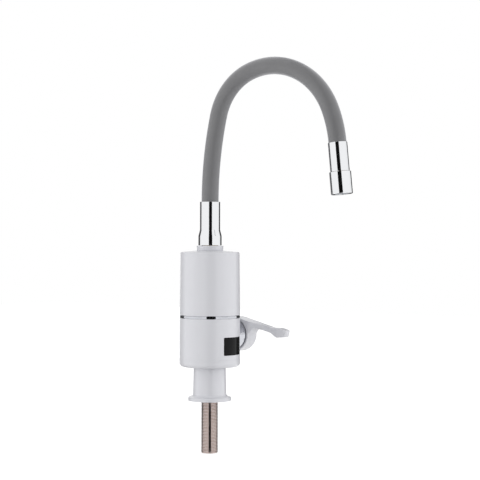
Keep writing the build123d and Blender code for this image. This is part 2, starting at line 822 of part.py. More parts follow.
# Lever handle: the arm is its side outline crossed with its plan outline, joined to the hub
arm_fall = radians(arm_slope)
arm_direction = (0, -cos(arm_fall), -sin(arm_fall))
arm_upward = (0, -sin(arm_fall), cos(arm_fall))
side_start_x = hub_face_x + cut_over
side_plane = Plane(origin=(side_start_x, 0, valve_z), x_dir=arm_direction, z_dir=(-1, 0, 0))
plan_plane = Plane(origin=(0, 0, valve_z), x_dir=arm_direction, z_dir=arm_upward)
arm_under = hub_radius - arm_thickness
paddle_end = arm_length + paddle_length
paddle_wide = arm_length + paddle_swell
paddle_top = hub_radius + paddle_rise
hub_cavity_end = hub_face_x - hub_wall
plug_seat_x = hub_face_x - plug_recess
head_seat_x = plug_seat_x - handle_screw_head_height - seat_gap
with BuildPart() as lever_handle:
    with BuildSketch(side_plane):
        with BuildLine():
            FilletPolyline(
                (0, hub_radius),
                (arm_length, hub_radius),
                (paddle_wide, paddle_top),
                (paddle_end, paddle_top),
                (paddle_end, paddle_top - paddle_tip_height),
                (paddle_wide, paddle_top - paddle_height),
                (arm_length, arm_under),
                (hub_radius + root_fillet, arm_under),
                (hub_radius - root_fillet, 0),
                (0, 0),
                radius=[
                    arm_corner,
                    paddle_crown,
                    paddle_crown,
                    paddle_tip_radius,
                    paddle_tip_radius,
                    paddle_curve,
                    paddle_curve,
                    root_fillet,
                    arm_corner,
                    arm_corner,
                ],
                close=True,
            )
        make_face()
    extrude(amount=side_start_x - hub_back_x + cut_over)
    with BuildSketch(plan_plane):
        with BuildLine():
            FilletPolyline(
                (-cut_over, hub_back_x),
                (root_length, hub_back_x),
                (root_length + root_taper, arm_inner_x),
                (arm_length, arm_inner_x),
                (paddle_wide, paddle_inner_x),
                (paddle_end, paddle_inner_x + paddle_end_taper),
                (paddle_end, paddle_outer_x - paddle_end_taper),
                (paddle_wide, paddle_outer_x),
                (arm_length, arm_outer_x),
                (-cut_over, arm_outer_x),
                radius=[
                    arm_corner,
                    paddle_curve,
                    paddle_curve,
                    paddle_curve,
                    paddle_curve,
                    paddle_plan_radius,
                    paddle_plan_radius,
                    paddle_curve,
                    paddle_curve,
                    arm_corner,
                ],
                close=True,
            )
        make_face()
    extrude(amount=2 * hub_radius, both=True, mode=Mode.INTERSECT)
    with BuildSketch(FRONT) as hub_profile:
        add(valve_ring(0, hub_radius, hub_back_x, hub_face_x))
        hub_rim = hub_profile.vertices().sort_by(Axis.X)[-2:]
        fillet(hub_rim.sort_by(Axis.Y)[-1], hub_edge_radius)
    revolve(axis=VALVE_AXIS)
    revolve(
        valve_ring(hub_boss_radius, hub_radius - hub_wall, hub_back_x, hub_cavity_end),
        axis=VALVE_AXIS,
        mode=Mode.SUBTRACT,
    )
    revolve(
        valve_ring(0, hub_boss_radius, hub_back_x, hub_boss_x),
        axis=VALVE_AXIS,
        mode=Mode.SUBTRACT,
    )
    revolve(
        valve_ring(0, stem_radius + seat_gap, hub_boss_x, stem_end + seat_gap),
        axis=VALVE_AXIS,
        mode=Mode.SUBTRACT,
    )
    revolve(
        valve_ring(0, handle_screw_radius + seat_gap, stem_end, head_seat_x),
        axis=VALVE_AXIS,
        mode=Mode.SUBTRACT,
    )
    revolve(
        valve_ring(0, handle_screw_head + seat_gap, head_seat_x, plug_seat_x),
        axis=VALVE_AXIS,
        mode=Mode.SUBTRACT,
    )
    revolve(
        valve_ring(0, plug_radius + seat_gap, plug_seat_x, hub_face_x),
        axis=VALVE_AXIS,
        mode=Mode.SUBTRACT,
    )
save(lever_handle.part, "lever_handle")

with BuildPart() as handle_screw:
    revolve(
        valve_ring(0, handle_screw_radius, screw_bore_x, head_seat_x),
        axis=VALVE_AXIS,
    )
    revolve(
        valve_ring(0, handle_screw_head, head_seat_x, plug_seat_x - seat_gap),
        axis=VALVE_AXIS,
    )
save(handle_screw.part, "handle_screw")

with BuildPart() as handle_plug:
    revolve(valve_ring(0, plug_radius, plug_seat_x, hub_face_x), axis=VALVE_AXIS)
save(handle_plug.part, "handle_plug")

# Swivel: the collar nut clamps the crown against the flange of the brass stub
stub_base = crown_z - crown_wall - seat_gap - stub_flange_height
bearing_base = ferrule_base + seat_gap
bearing_top = bearing_base + stub_bearing_length
with BuildPart() as collar_nut:
    revolve(
        outline(
            FRONT,
            [
                (stub_thread_radius + seat_gap, crown_z),
                (collar_foot_radius, crown_z),
                (collar_top_radius, collar_top),
                (stub_thread_radius + seat_gap, collar_top),
            ],
        ),
        axis=Axis.Z,
    )
save(collar_nut.part, "collar_nut")

seal_floor = stub_bearing_radius - seal_depth
clip_base = bearing_base + clip_rise
with BuildPart() as swivel_stub:
    with BuildSketch(FRONT):
        with BuildLine():
            Polyline(
                (stub_bore_radius, stub_base - stub_spigot_length),
                (stub_spigot_radius, stub_base - stub_spigot_length),
                (stub_spigot_radius, stub_base),
                (stub_flange_radius, stub_base),
                (stub_flange_radius, stub_base + stub_flange_height),
                (stub_thread_radius, stub_base + stub_flange_height),
                (stub_thread_radius, bearing_base),
                (stub_bearing_radius, bearing_base),
                (stub_bearing_radius, bearing_top),
                (stub_bore_radius, bearing_top),
                close=True,
            )
        make_face()
    revolve(axis=Axis.Z)
    for rise in (seal_first_rise, seal_first_rise + seal_spacing):
        groove_base = bearing_base + rise
        revolve(
            ring(seal_floor, stub_thread_radius, groove_base, groove_base + seal_width),
            axis=Axis.Z,
            mode=Mode.SUBTRACT,
        )
    revolve(
        ring(
            stub_bearing_radius - clip_depth,
            stub_thread_radius,
            clip_base,
            clip_base + clip_height + 2 * seat_gap,
        ),
        axis=Axis.Z,
        mode=Mode.SUBTRACT,
    )
save(swivel_stub.part, "swivel_stub")

with BuildPart() as swivel_seals:
    for rise in (seal_first_rise, seal_first_rise + seal_spacing):
        seal_base = bearing_base + rise + seat_gap
        revolve(
            ring(
                seal_floor + seat_gap,
                stub_bearing_radius,
                seal_base,
                seal_base + seal_width - 2 * seat_gap,
            ),
            axis=Axis.Z,
        )
save(swivel_seals.part, "swivel_seals")

clip_outer = stub_bearing_radius - clip_depth + seat_gap + clip_width
with BuildPart() as swivel_clip:
    revolve(
        ring(
            stub_bearing_radius - clip_depth + seat_gap,
            clip_outer,
            clip_base + seat_gap,
            clip_base + seat_gap + clip_height,
        ),
        axis=Axis.Z,
    )
save(swivel_clip.part, "swivel_clip")

# Spout socket: turns on the stub inside the lower ferrule, ends in the hose nipple
socket_base_z = bearing_base + free_gap
socket_top = bearing_base + socket_height
hose_base = ferrule_top - hose_tail
with BuildPart() as spout_socket:
    with BuildSketch(FRONT):
        with BuildLine():
            Polyline(
                (stub_bearing_radius + running_gap, socket_base_z),
                (socket_radius, socket_base_z),
                (socket_radius, socket_top),
                (nipple_radius, socket_top),
                (nipple_radius, hose_base + nipple_length),
                (nipple_bore_radius, hose_base + nipple_length),
                (nipple_bore_radius, bearing_top + free_gap),
                (stub_bearing_radius + running_gap, bearing_top + free_gap),
                close=True,
            )
        make_face()
    revolve(axis=Axis.Z)
    revolve(
        ring(
            stub_bearing_radius,
            clip_outer + free_gap,
            clip_base + seat_gap - free_gap,
            clip_base + seat_gap + clip_height + free_gap,
        ),
        axis=Axis.Z,
        mode=Mode.SUBTRACT,
    )
save(spout_socket.part, "spout_socket")

foot_top = ferrule_base + ferrule_foot_height
taper_top = foot_top + ferrule_taper_height
with BuildPart() as lower_ferrule:
    with BuildSketch(FRONT):
        with BuildLine():
            Polyline(
                (ferrule_radius, taper_top),
                (ferrule_radius, ferrule_top),
                (hose_radius + seat_gap, ferrule_top),
                (hose_radius + seat_gap, socket_top + seat_gap),
                (socket_radius + seat_gap, socket_top + seat_gap),
                (socket_radius + seat_gap, ferrule_base),
                (ferrule_foot_radius, ferrule_base),
                (ferrule_foot_radius, foot_top),
            )
            waist = ((ferrule_foot_radius + ferrule_radius) / 2, (foot_top + taper_top) / 2)
            TangentArc((ferrule_foot_radius, foot_top), waist, tangent=(0, 1))
            TangentArc((ferrule_radius, taper_top), waist, tangent=(0, -1))
        make_face()
    revolve(axis=Axis.Z)
save(lower_ferrule.part, "lower_ferrule")

# Gooseneck hose: one path of tangent arcs in the spout's plane, straight inside the ferrules.
# In the sketch plane x is the reach to the front and y the height.
hose_arcs = (
    (hose_foot_curve, hose_foot_angle),
    (hose_rise_curve, hose_rise_angle),
    (hose_top_curve, hose_top_angle),
    (hose_fall_curve, hose_fall_angle),
)
SPOUT_PLANE = Plane(origin=(0, 0, 0), x_dir=(0, -1, 0), z_dir=(-1, 0, 0))
with BuildLine(SPOUT_PLANE) as hose_path:
    foot_run = Line((0, hose_base), (0, ferrule_top))
    run = foot_run
    for arc_radius, arc_angle in hose_arcs:
        run = JernArc(run @ 1, run % 1, arc_radius, -arc_angle)
    hose_end = run @ 1
    end_direction = run % 1
    Line(hose_end, hose_end + end_direction * hose_tail)


def hose_layer(outer, inner):
    """Round layer of the hose swept along its path."""
    with BuildPart() as layer:
        with BuildSketch(Plane.XY.offset(hose_base)):
            Circle(outer)
            Circle(inner, mode=Mode.SUBTRACT)
        sweep(path=hose_path.wire())
    return layer.part


hose_sleeve = hose_layer(hose_radius, hose_bore_radius)
save(hose_sleeve, "hose_sleeve")
water_tube = hose_layer(tube_radius, tube_bore_radius)
save(water_tube, "water_tube")

# Outlet: brass nipple in the end of the hose, slim ferrule over both, aerator on its thread.
# The section plane runs from the hose's end: x is the radius, y the way along the outlet.
OUTLET_SECTION = Plane(
    origin=hose_end, x_dir=(1, 0, 0), z_dir=(0, -end_direction.Z, end_direction.Y)
)
OUTLET_AXIS = Axis(hose_end, end_direction)


def outlet_ring(inner, outer, near, far):
    """Half section of a ring about the outlet's axis, from near to far along it."""
    return outline(OUTLET_SECTION, [(inner, near), (outer, near), (outer, far), (inner, far)])


outlet_body_end = outlet_body_start + outlet_body_length
aerator_start = outlet_ferrule_length + free_gap
aerator_end = aerator_start + aerator_length
insert_start = outlet_body_end + washer_thickness
with BuildPart() as outlet_nipple:
    revolve(
        outlet_ring(0, nipple_radius, hose_tail - nipple_length, outlet_body_start),
        axis=OUTLET_AXIS,
    )
    revolve(
        outlet_ring(0, outlet_body_radius, outlet_body_start, outlet_body_end),
        axis=OUTLET_AXIS,
    )
    revolve(
        outlet_ring(0, nipple_bore_radius, hose_tail - nipple_length, outlet_body_end),
        axis=OUTLET_AXIS,
        mode=Mode.SUBTRACT,
    )
save(outlet_nipple.part, "outlet_nipple")

with BuildPart() as outlet_ferrule:
    revolve(
        outlet_ring(
            outlet_body_radius + seat_gap, outlet_ferrule_radius, 0, outlet_ferrule_length
        ),
        axis=OUTLET_AXIS,
    )
    revolve(
        outlet_ring(0, hose_radius + seat_gap, 0, hose_tail + seat_gap),
        axis=OUTLET_AXIS,
        mode=Mode.SUBTRACT,
    )
save(outlet_ferrule.part, "outlet_ferrule")

with BuildPart() as aerator_shell:
    revolve(
        outlet_ring(aerator_bore_radius, aerator_radius, aerator_start, aerator_end),
        axis=OUTLET_AXIS,
    )
    revolve(
        outlet_ring(
            aerator_lip_radius, aerator_bore_radius, aerator_end - aerator_lip, aerator_end
        ),
        axis=OUTLET_AXIS,
    )
save(aerator_shell.part, "aerator_shell")

with BuildPart() as aerator_washer:
    revolve(
        outlet_ring(
            washer_bore_radius, aerator_bore_radius - seat_gap, outlet_body_end, insert_start
        ),
        axis=OUTLET_AXIS,
    )
save(aerator_washer.part, "aerator_washer")

with BuildPart() as aerator_insert:
    revolve(
        outlet_ring(0, aerator_bore_radius - seat_gap, insert_start, aerator_end - aerator_lip),
        axis=OUTLET_AXIS,
    )
save(aerator_insert.part, "aerator_insert")

# Flow switch: a six-sided magnetic piston that the water lifts past a reed switch
switch_top = outlet_top + switch_height
with BuildPart() as flow_switch_housing:
    with BuildSketch(Plane.XY.offset(outlet_top)):
        with Locations((valve_outlet_x, 0)):
            Circle(switch_radius)
            Circle(valve_outlet_bore, mode=Mode.SUBTRACT)
    extrude(amount=switch_floor)
    with BuildSketch(Plane.XY.offset(outlet_top + switch_floor)):
        with Locations((valve_outlet_x, 0)):
            Circle(switch_radius)
            Circle(switch_bore_radius, mode=Mode.SUBTRACT)
    extrude(amount=switch_height - switch_floor)
save(flow_switch_housing.part, "flow_switch_housing")

with BuildPart() as flow_piston:
    with BuildSketch(Plane.XY.offset(outlet_top + switch_floor)):
        with Locations((valve_outlet_x, 0)):
            RegularPolygon(switch_bore_radius - running_gap, 6)
    extrude(amount=switch_height - switch_floor - piston_travel - free_gap)
save(flow_piston.part, "flow_piston")

with BuildPart() as reed_switch:
    with BuildSketch(Plane.XY.offset(outlet_top + switch_floor)):
        with Locations((valve_outlet_x + switch_radius + seat_gap, 0)):
            Rectangle(reed_depth, reed_width, align=(Align.MIN, Align.CENTER))
    extrude(amount=reed_length)
save(reed_switch.part, "reed_switch")

# Heating tank: drawn steel cup with a lid; the stub's spigot stands in the lid's boss
spigot_base = stub_base - stub_spigot_length
lid_base = spigot_base - seat_gap - lid_seat
lid_top = lid_base + lid_thickness
probe_y = probe_inset - tank_offset - tank_radius
element_y = -tank_offset
element_reach = lid_boss_radius + element_inset
with BuildPart() as tank_shell:
    with BuildSketch(Plane.XY.offset(switch_top)):
        with Locations((0, -tank_offset)):
            Circle(tank_radius)
    extrude(amount=lid_base - switch_top)
    with BuildSketch(Plane.XY.offset(switch_top + tank_wall)):
        with Locations((0, -tank_offset)):
            Circle(tank_radius - tank_wall)
    extrude(amount=lid_base - switch_top, mode=Mode.SUBTRACT)
    with BuildSketch(Plane.XY.offset(switch_top)):
        with Locations((valve_outlet_x, 0)):
            Circle(tank_port_radius)
    extrude(amount=tank_wall, mode=Mode.SUBTRACT)
save(tank_shell.part, "tank_shell")

with BuildPart() as tank_lid:
    with BuildSketch(Plane.XY.offset(lid_base)):
        with Locations((0, -tank_offset)):
            Circle(tank_radius)
        with Locations((-element_reach, element_y), (element_reach, element_y)):
            Rectangle(
                element_width + 2 * seat_gap, element_depth + 2 * seat_gap, mode=Mode.SUBTRACT
            )
        with Locations((probe_x, probe_y)):
            Circle(probe_radius + seat_gap, mode=Mode.SUBTRACT)
    extrude(amount=lid_thickness)
    with BuildSketch(Plane.XY.offset(lid_top)):
        Circle(lid_boss_radius)
    extrude(amount=stub_base - lid_top)
    revolve(ring(0, stub_bore_radius, lid_base, lid_top), axis=Axis.Z, mode=Mode.SUBTRACT)
    revolve(
        ring(0, stub_spigot_radius + seat_gap, lid_base + lid_seat, stub_base),
        axis=Axis.Z,
        mode=Mode.SUBTRACT,
    )
save(tank_lid.part, "tank_lid")

# Heating element: flat hairpin whose two ends come out through the lid as terminals
bend_z = switch_top + tank_wall + element_floor_gap + element_width / 2 + element_reach
with BuildPart() as heating_element:
    with BuildSketch(FRONT.offset(-element_y - element_depth / 2)):
        with Locations((0, bend_z)):
            Circle(element_reach + element_width / 2)
            Circle(element_reach - element_width / 2, mode=Mode.SUBTRACT)
            Rectangle(
                4 * element_reach,
                2 * element_reach,
                align=(Align.CENTER, Align.MIN),
                mode=Mode.SUBTRACT,
            )
        with Locations((-element_reach, bend_z), (element_reach, bend_z)):
            Rectangle(
                element_width, lid_top + terminal_height - bend_z, align=(Align.CENTER, Align.MIN)
            )
    extrude(amount=element_depth)
save(heating_element.part, "heating_element")

with BuildPart() as temperature_probe:
    with BuildSketch(Plane.XY.offset(lid_top + terminal_height - probe_length)):
        with Locations((probe_x, probe_y)):
            Circle(probe_radius)
    extrude(amount=probe_length)
save(temperature_probe.part, "temperature_probe")

with BuildPart() as thermal_cutout:
    add(
        block(
            -tank_radius - seat_gap - cutout_depth / 2,
            cutout_depth,
            -tank_offset - cutout_size / 2,
            cutout_size,
            switch_top + cutout_rise,
            cutout_size,
        )
    )
save(thermal_cutout.part, "thermal_cutout")

# Electronics: control board in its rails, parts on its rear face, terminal block and wires
with BuildPart() as control_board:
    add(
        block(
            0,
            control_board_width,
            control_board_y,
            board_thickness,
            control_board_base,
            board_top - control_board_base,
        )
    )
save(control_board.part, "control_board")

with BuildPart() as power_relay:
    add(block(relay_x, relay_width, board_back, relay_depth, relay_base, relay_height))
save(power_relay.part, "power_relay")

with BuildPart() as power_module:
    add(
        block(
            module_block_x,
            module_block_width,
            board_back,
            module_block_depth,
            module_block_base,
            module_block_height,
        )
    )
save(power_module.part, "power_module")

terminal_y = valve_flange_radius + terminal_gap
terminal_far_x = terminal_x - terminal_width / 2
terminal_corner_radius = lap_radius - lap_wall - terminal_edge_gap
terminal_depth = sqrt(terminal_corner_radius**2 - terminal_far_x**2) - terminal_y
with BuildPart() as terminal_block:
    add(
        block(
            terminal_x,
            terminal_width,
            terminal_y,
            terminal_depth,
            cover_floor,
            terminal_block_height,
        )
    )
save(terminal_block.part, "terminal_block")

terminal_top = cover_floor + terminal_block_height
with BuildPart() as supply_wires:
    with BuildSketch(Plane.XY.offset(terminal_top)):
        with Locations((terminal_x, board_back + wire_radius + seat_gap)):
            with GridLocations(wire_spacing, 0, 3, 1):
                Circle(wire_radius)
    extrude(amount=control_board_base + wire_lap - terminal_top)
save(supply_wires.part, "supply_wires")

lead_start = element_y + element_depth / 2 + seat_gap
with BuildPart() as heater_leads:
    with BuildSketch(FRONT.offset(-lead_start)):
        with Locations((0, lid_top + terminal_height / 2)):
            with GridLocations(2 * element_reach, 0, 2, 1):
                Circle(wire_radius)
    extrude(amount=lead_start + seat_gap - control_board_y)
save(heater_leads.part, "heater_leads")

# Ribbon cable: bent strip from the display board round to the foot of the control board
ribbon_radius = housing_bore - ribbon_inset
with BuildPart() as ribbon_cable:
    with BuildSketch(Plane.XY.offset(ribbon_base)):
        Circle(ribbon_radius + ribbon_thickness)
        Circle(ribbon_radius, mode=Mode.SUBTRACT)
        with Locations((0, display_board_y + board_thickness + seat_gap)):
            Rectangle(
                2 * ribbon_radius,
                control_board_y - display_board_y - board_thickness - 2 * seat_gap,
                align=(Align.MAX, Align.MIN),
                mode=Mode.INTERSECT,
            )
    extrude(amount=ribbon_width)
save(ribbon_cable.part, "ribbon_cable")
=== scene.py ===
import math

import bpy
from mathutils import Matrix, Vector


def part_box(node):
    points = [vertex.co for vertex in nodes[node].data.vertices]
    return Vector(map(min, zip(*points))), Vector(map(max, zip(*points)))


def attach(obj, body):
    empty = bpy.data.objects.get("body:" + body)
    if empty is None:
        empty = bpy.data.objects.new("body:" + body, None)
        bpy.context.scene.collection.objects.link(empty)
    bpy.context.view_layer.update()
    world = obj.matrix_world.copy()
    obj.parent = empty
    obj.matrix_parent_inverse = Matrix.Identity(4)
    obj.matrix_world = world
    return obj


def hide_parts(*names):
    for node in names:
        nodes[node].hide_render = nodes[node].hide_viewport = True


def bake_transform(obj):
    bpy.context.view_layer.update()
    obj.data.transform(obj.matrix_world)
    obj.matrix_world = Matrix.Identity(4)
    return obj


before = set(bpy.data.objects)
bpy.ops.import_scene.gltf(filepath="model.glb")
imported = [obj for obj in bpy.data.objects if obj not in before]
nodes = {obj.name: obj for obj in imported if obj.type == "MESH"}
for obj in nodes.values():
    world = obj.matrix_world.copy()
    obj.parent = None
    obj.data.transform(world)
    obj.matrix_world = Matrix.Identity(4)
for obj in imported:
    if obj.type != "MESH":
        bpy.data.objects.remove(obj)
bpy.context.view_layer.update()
mm = 0.001

# Camera: level with the middle of the tap, 55 degrees round to the left of its front and
# 1.75 m away through a long lens. The tap's axis stands a little left of the picture's
# middle, and the camera is a hair out of plumb.
view_azimuth = math.radians(-55)
view_distance = 1.75
view_height = 0.20025
view_roll = math.radians(0.15)
lens_length = 105
sensor_width = 36
axis_left_of_middle = 0.0375
to_camera = Vector((math.sin(view_azimuth), -math.cos(view_azimuth), 0))
picture_right = Vector((math.cos(view_azimuth), math.sin(view_azimuth), 0))
view_target = picture_right * axis_left_of_middle + Vector((0, 0, view_height))
camera = bpy.data.objects.new("camera", bpy.data.cameras.new("camera"))
camera.data.sensor_width = sensor_width
camera.data.lens = lens_length
camera.location = view_target + to_camera * view_distance
upright = Matrix.Rotation(view_azimuth, 3, "Z") @ Matrix.Rotation(math.radians(90), 3, "X")
camera.rotation_euler = (upright @ Matrix.Rotation(view_roll, 3, "Z")).to_euler()
bpy.context.scene.collection.objects.link(camera)
bpy.context.scene.camera = camera

# Inlet shank: a stainless tube turned from bar, with a G1/2 pipe thread cut along all of it
# that shows below the flange. Its plain upper end goes through the pedestal into the valve.
thread_pitch = 1.814
thread_depth = 1.16
thread_sharpness = 1.7
thread_columns = 72
thread_rows_per_turn = 10
thread_end_gap = 0.1
thread_skin_sink = 0.05
shank_bore = 7.5
shank_chamfer = 1.0
shank_low, shank_high = (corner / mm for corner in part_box("inlet_shank"))
shank_radius = shank_high.x
collar_radius = 10.3
collar_foot_drop = 0.1
collar_height = 1.5
neck_radius = 9.4
rounding_step = math.radians(14)


def rounded(corners):
    """Points round a closed section with its corners rounded, and the way it runs at each.

    A corner is (radius, height, rounding), in order with the solid on the left."""
    run = []
    count = len(corners)
    for i, corner in enumerate(corners):
        here = Vector(corner[:2])
        way_in = (here - Vector(corners[i - 1][:2])).normalized()
        way_out = (Vector(corners[(i + 1) % count][:2]) - here).normalized()
        turn = math.atan2(
            way_in.x * way_out.y - way_in.y * way_out.x, way_in.dot(way_out)
        )
        start = here - way_in * corner[2] * math.tan(abs(turn) / 2)
        inward = Vector((-way_in.y, way_in.x)) * math.copysign(corner[2], turn)
        centre = start + inward
        steps = max(2, math.ceil(abs(turn) / rounding_step))
        for step in range(steps + 1):
            swing = Matrix.Rotation(turn * step / steps, 2)
            run.append((centre + swing @ (start - centre), swing @ way_in))
    return run


def piece_of(name, points, faces, normals=None):
    """A smooth piece of those points in metres, linked to the scene."""
    mesh = bpy.data.meshes.new(name)
    mesh.from_pydata(points, [], faces)
    mesh.shade_smooth()
    if normals:
        mesh.normals_split_custom_set_from_vertices(normals)
    piece = bpy.data.objects.new(name, mesh)
    bpy.context.scene.collection.objects.link(piece)
    return piece


def turned(name, corners, origin=(0, 0, 0), direction=(0, 0, 1), columns=96):
    """A lathe-turned piece: the rounded section, in millimetres, spun about an axis."""
    section = rounded(corners)
    tilt = Vector((0, 0, 1)).rotation_difference(Vector(direction)).to_matrix()
    points, normals, faces, rings = [], [], [], []
    for point, way in section:
        on_axis = point.x < 1e-6
        spun = 1 if on_axis else columns
        rings.append([len(points) + column % spun for column in range(columns)])
        for column in range(spun):
            angle = 2 * math.pi * column / columns
            across = Vector((math.cos(angle), math.sin(angle), 0))
            along = Vector((0, 0, 1))
            at = across * point.x + along * point.y
            points.append(tilt @ at * mm + Vector(origin))
            face_out = -along * way.x if on_axis else across * way.y - along * way.x
            normals.append(tilt @ face_out)
    for ring, following in zip(rings, rings[1:] + rings[:1]):
        for column in range(columns):
            beside = (column + 1) % columns
            loop = [ring[column], ring[beside], following[beside], following[column]]
            loop = list(dict.fromkeys(loop))
            if len(loop) > 2:
                faces.append(loop)
    return piece_of(name, points, faces, normals)


def threaded(name, low, high, crest, root, pitch):
    """The skin of a thread about the vertical axis, chamfered at its lower end."""
    rows = round((high - low) / pitch * thread_rows_per_turn)
    points, faces = [], []
    for row in range(rows + 1):
        for column in range(thread_columns):
            angle = 2 * math.pi * column / thread_columns
            lead = pitch * column / thread_columns
            height = low + (high - low) * row / rows
            phase = 2 * math.pi * (height - lead) / pitch
            cut = (0.5 - 0.5 * math.cos(phase)) ** thread_sharpness
            chamfer = max(0.0, shank_chamfer - (height - low))
            radius = min(crest - (crest - root) * cut, crest - chamfer)
            at = (math.cos(angle) * radius * mm, math.sin(angle) * radius * mm, height * mm)
            points.append(at)
            if row:
                beside = (column + 1) % thread_columns
                here = (row - 1) * thread_columns
                over = row * thread_columns
                faces.append((here + column, here + beside, over + beside, over + column))
    return piece_of(name, points, faces)


def new_finish(name):
    """A material with its shader, and the coordinates of the solid that it covers."""
    finish = bpy.data.materials.new(name)
    finish.use_nodes = True
    tree = finish.node_tree
    place = tree.nodes.new("ShaderNodeTexCoord").outputs["Object"]
    return finish, tree, tree.nodes["Principled BSDF"], place


def grain(tree, place, per_metre, detail=3.0, stretch=(1, 1, 1)):
    """Noise fixed to the solid, with so many grains to the metre."""
    mapping = tree.nodes.new("ShaderNodeMapping")
    mapping.inputs["Scale"].default_value = stretch
    noise = tree.nodes.new("ShaderNodeTexNoise")
    noise.inputs["Scale"].default_value = per_metre
    noise.inputs["Detail"].default_value = detail
    tree.links.new(place, mapping.inputs["Vector"])
    tree.links.new(mapping.outputs["Vector"], noise.inputs["Vector"])
    return noise.outputs["Fac"]


def vary(tree, source, socket, low, high):
    """Drives a socket from low to high as the noise goes over its middle range."""
    spread = tree.nodes.new("ShaderNodeMapRange")
    spread.inputs["From Min"].default_value = 0.3
    spread.inputs["From Max"].default_value = 0.7
    spread.inputs["To Min"].default_value = low
    spread.inputs["To Max"].default_value = high
    tree.links.new(source, spread.inputs["Value"])
    tree.links.new(spread.outputs["Result"], socket)


def tint(tree, source, socket, dark, light):
    """Drives a colour socket from dark to light as the noise varies.

    The mixing node's colour sockets share their names with others, so they go by place."""
    blend = tree.nodes.new("ShaderNodeMix")
    blend.data_type = "RGBA"
    first_colour, second_colour, mixed_colour = blend.inputs[6], blend.inputs[7], blend.outputs[2]
    first_colour.default_value = (*dark, 1)
    second_colour.default_value = (*light, 1)
    tree.links.new(source, blend.inputs["Factor"])
    tree.links.new(mixed_colour, socket)


def relief(tree, source, shader, depth, edge_radius=0.0):
    """Raises the surface by the noise, up to depth in metres, with its edges eased if asked."""
    bump = tree.nodes.new("ShaderNodeBump")
    bump.inputs["Distance"].default_value = depth
    bump.inputs["Strength"].default_value = 1.0
    tree.links.new(source, bump.inputs["Height"])
    if edge_radius:
        eased = tree.nodes.new("ShaderNodeBevel")
        eased.inputs["Radius"].default_value = edge_radius
        tree.links.new(eased.outputs["Normal"], bump.inputs["Normal"])
    tree.links.new(bump.outputs["Normal"], shader.inputs["Normal"])


def cut_thread_steel():
    """Bare stainless straight off the thread die, with a warm cast and fine tool marks."""
    finish, tree, shader, place = new_finish("cut_thread_steel")
    shader.inputs["Metallic"].default_value = 1.0
    shader.inputs["Specular Tint"].default_value = (0.13, 0.11, 0.11, 1)
    tool_marks = grain(tree, place, per_metre=900, stretch=(1, 1, 6))
    dark, light = (0.58, 0.505, 0.48), (0.735, 0.65, 0.615)
    tint(tree, tool_marks, shader.inputs["Base Color"], dark, light)
    vary(tree, tool_marks, shader.inputs["Roughness"], low=0.07, high=0.15)
    relief(tree, tool_marks, shader, depth=0.000004)
    return finish


thread_steel = cut_thread_steel()
thread_root = shank_radius - thread_depth
shank = turned(
    "shank_tube",
    [
        (shank_bore, shank_low.z, 0.4),
        (thread_root, shank_low.z, 0.2),
        (thread_root, -collar_foot_drop, 0.05),
        (collar_radius, -collar_foot_drop, 0.1),
        (collar_radius, collar_height, 0.1),
        (neck_radius, collar_height, 0.1),
        (neck_radius, shank_high.z, 0.3),
        (shank_bore, shank_high.z, 0.3),
    ],
)
shank_thread = threaded(
    "shank_thread",
    shank_low.z + thread_end_gap,
    -thread_end_gap,
    shank_radius,
    thread_root - thread_skin_sink,
    thread_pitch,
)
for piece in (shank, shank_thread):
    piece.data.materials.append(thread_steel)
    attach(piece, "tap_body")
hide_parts("inlet_shank")
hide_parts("inlet_shank")

# Pedestal: a white ABS moulding with a round flange that stands on the worktop, a waisted
# neck, a black gasket in a groove under the flange, and a brass nut on the shank inside.
edge_softness = 0.0004


def white_shell():
    """Satin white ABS with a very faint cool cast, and the slight unevenness of moulding."""
    finish, tree, shader, place = new_finish("white_shell")
    shader.inputs["Specular IOR Level"].default_value = 0.5
    shader.inputs["Coat Weight"].default_value = 0.4
    shader.inputs["Coat Roughness"].default_value = 0.14
    flow = grain(tree, place, per_metre=14, detail=2.0)
    dark, light = (0.671, 0.674, 0.710), (0.694, 0.697, 0.731)
    tint(tree, flow, shader.inputs["Base Color"], dark, light)
    orange_peel = grain(tree, place, per_metre=700, detail=2.0)
    vary(tree, orange_peel, shader.inputs["Roughness"], low=0.30, high=0.38)
    relief(tree, orange_peel, shader, depth=0.000006, edge_radius=edge_softness)
    return finish


def black_rubber():
    """Matte black moulded rubber, dusty grey where it is rubbed."""
    finish, tree, shader, place = new_finish("black_rubber")
    shader.inputs["Specular IOR Level"].default_value = 0.35
    bloom = grain(tree, place, per_metre=350)
    dark, light = (0.018, 0.018, 0.019), (0.035, 0.035, 0.036)
    tint(tree, bloom, shader.inputs["Base Color"], dark, light)
    vary(tree, bloom, shader.inputs["Roughness"], low=0.6, high=0.8)
    relief(tree, bloom, shader, depth=0.00002)
    return finish


def machined_brass():
    """Plain brass off the lathe, with fine turning marks and a light tarnish."""
    finish, tree, shader, place = new_finish("machined_brass")
    shader.inputs["Metallic"].default_value = 1.0
    tarnish = grain(tree, place, per_metre=120)
    dark, light = (0.66, 0.47, 0.20), (0.80, 0.62, 0.33)
    tint(tree, tarnish, shader.inputs["Base Color"], dark, light)
    turning = grain(tree, place, per_metre=600, stretch=(1, 1, 8))
    vary(tree, turning, shader.inputs["Roughness"], low=0.22, high=0.38)
    relief(tree, turning, shader, depth=0.000008)
    return finish


def dress(finish, slot_name, *names):
    """Gives CAD pieces that stay as they are their real finish."""
    for name in names:
        mesh = nodes[name].data
        mesh.materials.clear()
        mesh.materials.append(finish)


white = white_shell()
rubber = black_rubber()
brass = machined_brass()
dress(white, "white_shell", "pedestal")
dress(rubber, "black_rubber", "base_gasket", "lead_grommet")
dress(brass, "brass", "shank_locknut")

